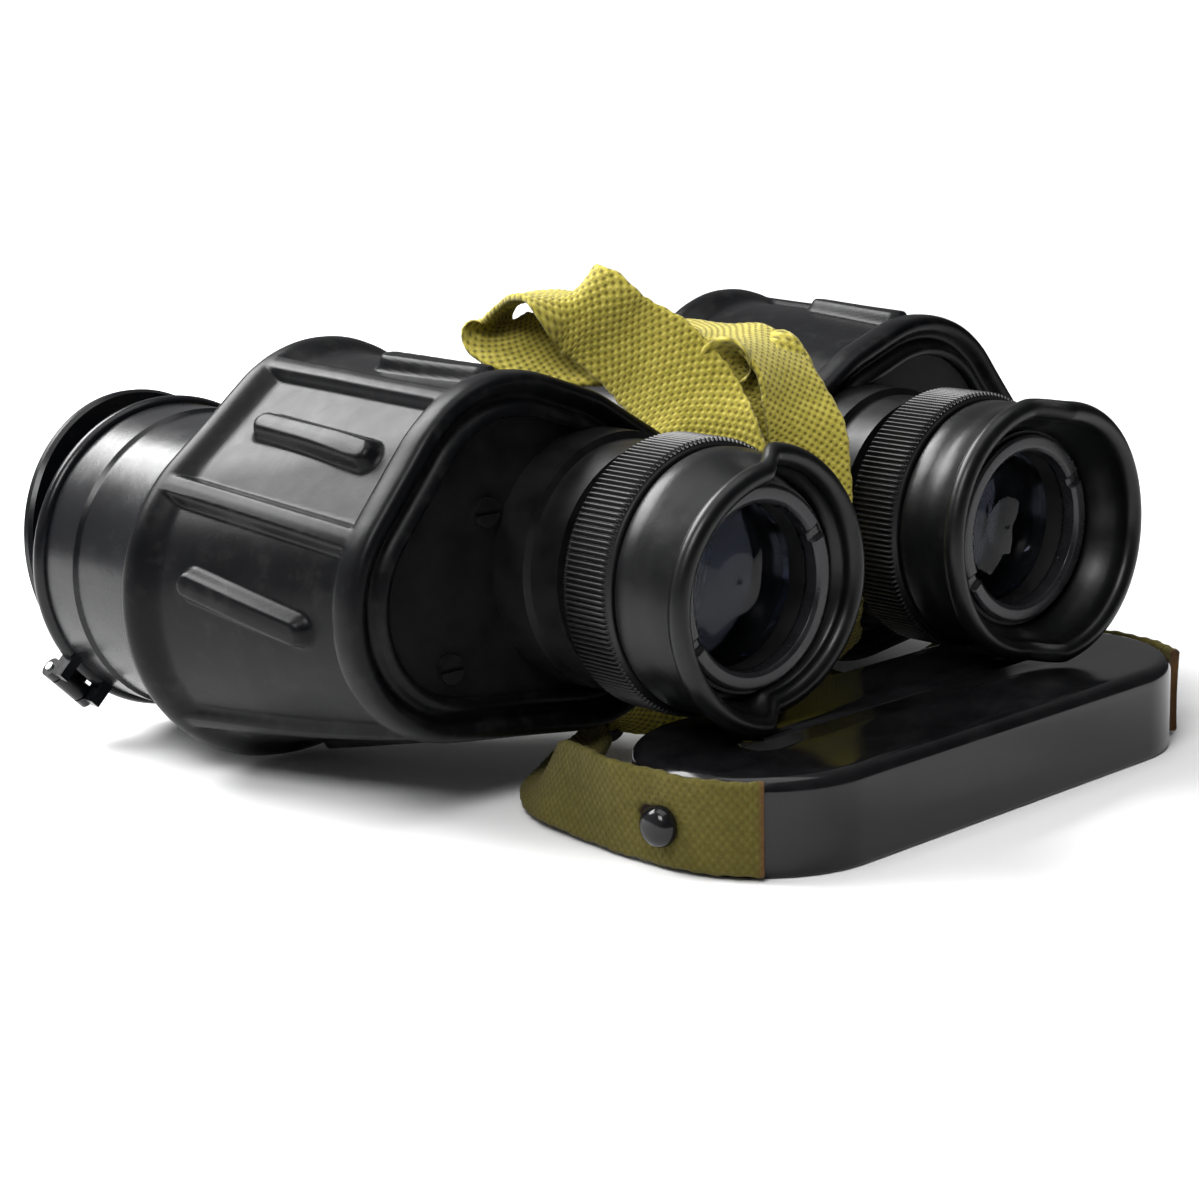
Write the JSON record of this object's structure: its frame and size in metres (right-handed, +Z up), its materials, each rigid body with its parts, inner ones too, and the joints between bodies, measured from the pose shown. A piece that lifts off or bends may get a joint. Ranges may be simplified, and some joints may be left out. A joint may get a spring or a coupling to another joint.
{
  "type": "binoculars",
  "caption": "Rubber-armoured porro-prism binoculars with a centre fold hinge, turning focus eyepieces, flip-open objective caps, a loose rain guard and a webbing neck strap.",
  "frame": {"origin": "centre of the footprint, on the surface that the binoculars stand on", "axes": "+Y along both optical axes towards the objectives, +X towards the right barrel, +Z up"},
  "size_m": [0.1838, 0.1656, 0.0831],
  "materials": {
    "housing": "satin",
    "armour": "semi-matt moulded rubber",
    "rear_plate": "satin black",
    "plate_screws": "blackened",
    "eyepiece_base": "satin black",
    "objective_tube": "matt black inside",
    "objective_sleeve": "moulded",
    "objective_lens": "coated",
    "objective_ring": "black anodised",
    "cap_pin": "plain",
    "prism_rear": "polished",
    "prism_front": "polished",
    "prism_shelf": "machined",
    "strap_lug": "satin black",
    "hinge_arms": "satin black",
    "hinge_pin": "ground",
    "hinge_cap": "satin black",
    "strap": "woven webbing",
    "hinge_arm": "satin black",
    "ocular_tube": "black anodised",
    "field_lens": "clear",
    "eye_lens": "coated",
    "ocular_ring": "black anodised, worn edge",
    "focus_ring": "knurled",
    "eyecup": "soft moulded",
    "objective_cap": "moulded",
    "rain_guard": "moulded gloss",
    "guard_stud": "moulded gloss"
  },
  "bodies": {
    "left_barrel": {"housing_left": "housing", "armour_left": "armour", "rear_plate_left": "rear_plate", "plate_screws_left": "plate_screws", "eyepiece_base_left": "eyepiece_base", "objective_tube_left": "objective_tube", "objective_sleeve_left": "objective_sleeve", "objective_lens_left": "objective_lens", "objective_ring_left": "objective_ring", "cap_pin_left": "cap_pin", "prism_rear_left": "prism_rear", "prism_front_left": "prism_front", "prism_shelf_left": "prism_shelf", "strap_lug_left": "strap_lug", "hinge_arms_left": "hinge_arms", "hinge_pin": "hinge_pin", "hinge_cap_rear": "hinge_cap", "hinge_cap_front": "hinge_cap", "strap_bundle": "strap", "strap_tail_left": "strap", "strap_tail_right": "strap"},
    "right_barrel": {"housing_right": "housing", "armour_right": "armour", "rear_plate_right": "rear_plate", "plate_screws_right": "plate_screws", "eyepiece_base_right": "eyepiece_base", "objective_tube_right": "objective_tube", "objective_sleeve_right": "objective_sleeve", "objective_lens_right": "objective_lens", "objective_ring_right": "objective_ring", "cap_pin_right": "cap_pin", "prism_rear_right": "prism_rear", "prism_front_right": "prism_front", "prism_shelf_right": "prism_shelf", "strap_lug_right": "strap_lug", "hinge_arm_right": "hinge_arm"},
    "left_ocular": {"ocular_tube_left": "ocular_tube", "field_lens_left": "field_lens", "eye_lens_left": "eye_lens", "ocular_ring_left": "ocular_ring"},
    "right_ocular": {"ocular_tube_right": "ocular_tube", "field_lens_right": "field_lens", "eye_lens_right": "eye_lens", "ocular_ring_right": "ocular_ring"},
    "left_focus": {"focus_ring_left": "focus_ring", "eyecup_left": "eyecup"},
    "right_focus": {"focus_ring_right": "focus_ring", "eyecup_right": "eyecup"},
    "left_cap": {"objective_cap_left": "objective_cap"},
    "right_cap": {"objective_cap_right": "objective_cap"},
    "guard": {"rain_guard": "rain_guard", "guard_stud_left": "guard_stud", "guard_stud_right": "guard_stud"}
  },
  "joints": [
    {"name": "barrel_fold", "type": "hinge", "parent": "left_barrel", "child": "right_barrel", "pos_m": [0, 0.0058, 0.0532], "axis": [0, -1, 0], "range_deg": [0, 22], "deforming": ["strap_bundle", "strap_tail_left", "strap_tail_right"]},
    {"name": "left_ocular_slide", "type": "slide", "parent": "left_barrel", "child": "left_ocular", "axis": [0, -1, 0], "range_m": [-0.0022, 0.0022]},
    {"name": "left_focus_turn", "type": "hinge", "parent": "left_ocular", "child": "left_focus", "pos_m": [-0.0325, -0.0432, 0.0392], "axis": [0, -1, 0], "range_deg": [-90, 90]},
    {"name": "left_cap_flip", "type": "hinge", "parent": "left_barrel", "child": "left_cap", "pos_m": [-0.08214, 0.0688, 0.01076], "axis": [-0.7071, 0, 0.7071], "range_deg": [-10.8, 105]},
    {"name": "right_ocular_slide", "type": "slide", "parent": "right_barrel", "child": "right_ocular", "axis": [0, -1, 0], "range_m": [-0.0022, 0.0022]},
    {"name": "right_focus_turn", "type": "hinge", "parent": "right_ocular", "child": "right_focus", "pos_m": [0.0325, -0.0432, 0.0392], "axis": [0, -1, 0], "range_deg": [-90, 90]},
    {"name": "right_cap_flip", "type": "hinge", "parent": "right_barrel", "child": "right_cap", "pos_m": [0.08214, 0.0688, 0.01076], "axis": [-0.7071, 0, -0.7071], "range_deg": [-10.8, 105]},
    {"name": "guard_pull", "type": "slide", "parent": "left_barrel", "child": "guard", "axis": [0, -1, 0], "range_m": [0, 0.03], "deforming": ["strap_tail_left", "strap_tail_right"]}
  ],
  "couplings": [
    {"joint": "left_ocular_slide", "follows": "left_focus_turn", "m_per_rad": 0.00128},
    {"joint": "right_ocular_slide", "follows": "right_focus_turn", "m_per_rad": 0.00128}
  ]
}
